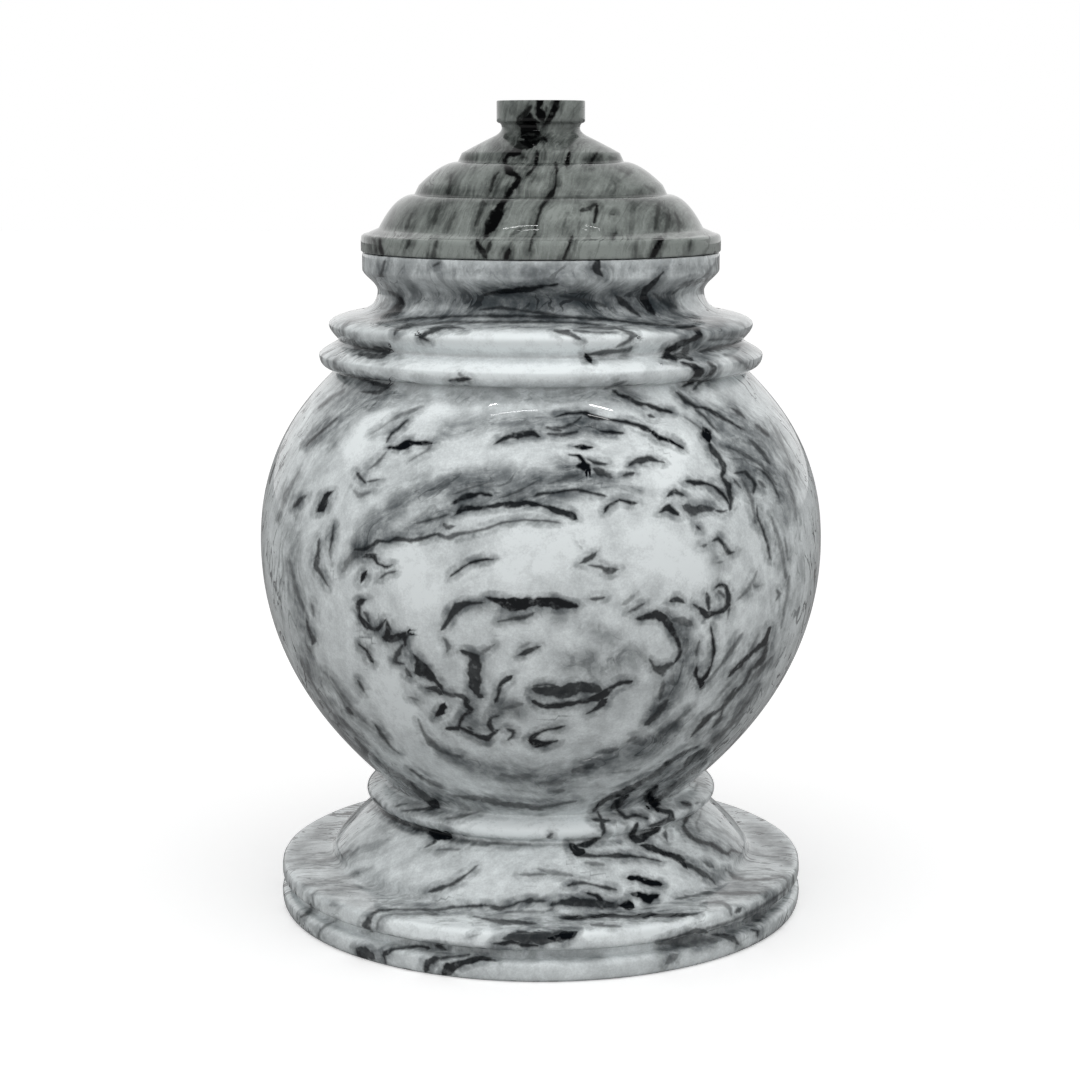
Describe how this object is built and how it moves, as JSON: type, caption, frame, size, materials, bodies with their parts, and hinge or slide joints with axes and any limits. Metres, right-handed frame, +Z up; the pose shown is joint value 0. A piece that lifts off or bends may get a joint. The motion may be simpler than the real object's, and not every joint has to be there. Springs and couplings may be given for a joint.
{
  "type": "cremation urn",
  "caption": "Turned marble cremation urn: hollow round-bellied body on a flared disc foot, with a stepped lid and flat disc knob that lifts off.",
  "frame": {"origin": "centre of the flat underside", "axes": "+Z up along the axis that both pieces are turned about, from the underside to the knob; +X and +Y level, -Y towards the picture's camera"},
  "size_m": [0.203, 0.203, 0.292],
  "materials": {
    "body_marble": "polished",
    "lid_marble": "polished"
  },
  "bodies": {
    "root": {"urn_body": "body_marble", "lid": "lid_marble"}
  },
  "joints": []
}
